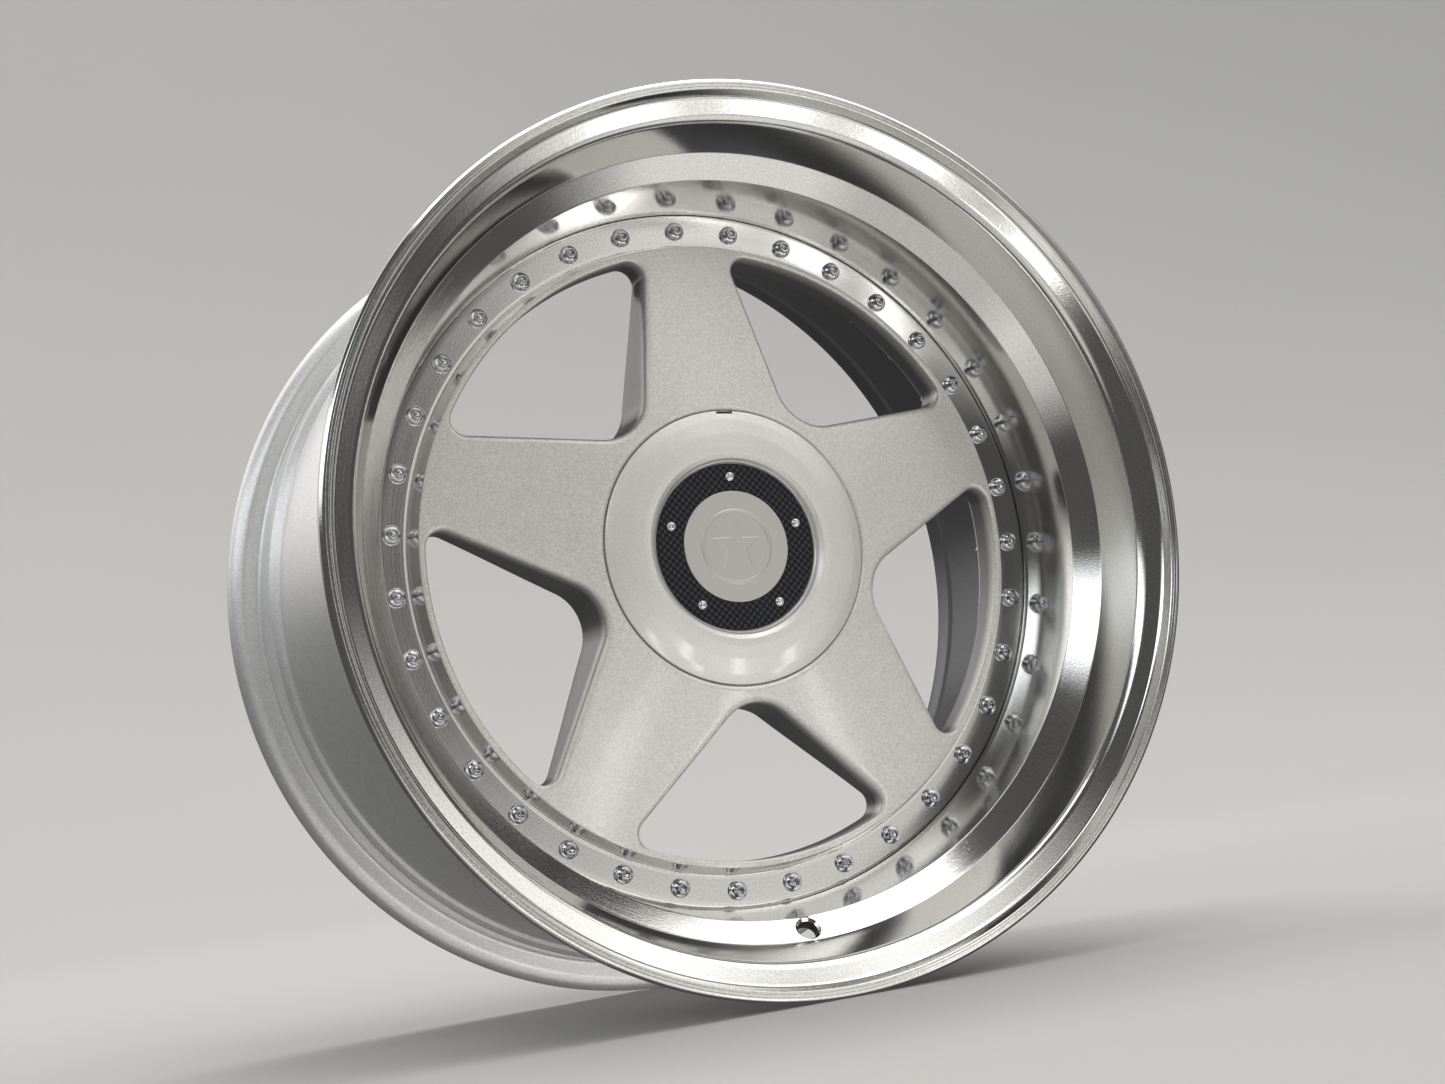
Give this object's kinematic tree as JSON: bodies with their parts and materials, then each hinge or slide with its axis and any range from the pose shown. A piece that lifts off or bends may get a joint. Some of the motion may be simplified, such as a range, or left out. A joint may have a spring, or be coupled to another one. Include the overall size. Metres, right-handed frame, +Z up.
{
  "type": "racing wheel rim",
  "caption": "Bolted three-piece racing wheel rim with a deep polished lip, star-shaped spoked centre and a push-fit cap.",
  "frame": {"origin": "centre of the hub bore on the hub mounting face", "axes": "+Y along the wheel's axis towards the vehicle, so the visible face looks along -Y; +Z up through a spoke, with the valve hole at -Z"},
  "size_m": [0.497, 0.2662, 0.497],
  "materials": {
    "polished_aluminium": "mirror turned, bare, with fine circular tool lines",
    "barrel_paint": "forged aluminium in silver metallic paint, satin gloss",
    "sealant": "smooth cured silicone, satin",
    "silver_paint": "forged aluminium in light silver metallic paint under gloss clear coat",
    "zinc_steel": "zinc plated, satin",
    "black_nylon": "moulded, fine grain",
    "spring_steel": "drawn wire, satin",
    "chrome": "bright chrome plate",
    "cover_paint": "light silver metallic under gloss clear coat",
    "seal_rubber": "moulded, matt",
    "carbon_weave": "plain weave carbon under gloss lacquer",
    "foam_pad": "closed-cell adhesive foam, matt",
    "badge_satin": null,
    "bright_steel": "bright plated",
    "brass": "turned"
  },
  "bodies": {
    "wheel": {"outer_lip": "polished_aluminium", "inner_barrel": "barrel_paint", "rim_sealant": "sealant", "spoke_centre": "silver_paint", "lug_seat_inserts": "zinc_steel", "centring_ring": "black_nylon", "centring_ring_clip": "spring_steel", "assembly_bolts": "chrome", "bolt_washers": "zinc_steel", "bolt_nuts": "zinc_steel"},
    "centre_cap": {"cap_cover": "cover_paint", "cap_seal": "seal_rubber", "cap_retainer": "black_nylon", "cap_spring_ring": "spring_steel", "carbon_trim_ring": "carbon_weave", "badge_pad": "foam_pad", "badge_disc": "badge_satin", "trim_screws": "bright_steel", "screw_inserts": "brass"}
  },
  "joints": [
    {"name": "cap_pull", "type": "slide", "parent": "wheel", "child": "centre_cap", "axis": [0, -1, 0], "range_m": [0, 0.05]}
  ]
}
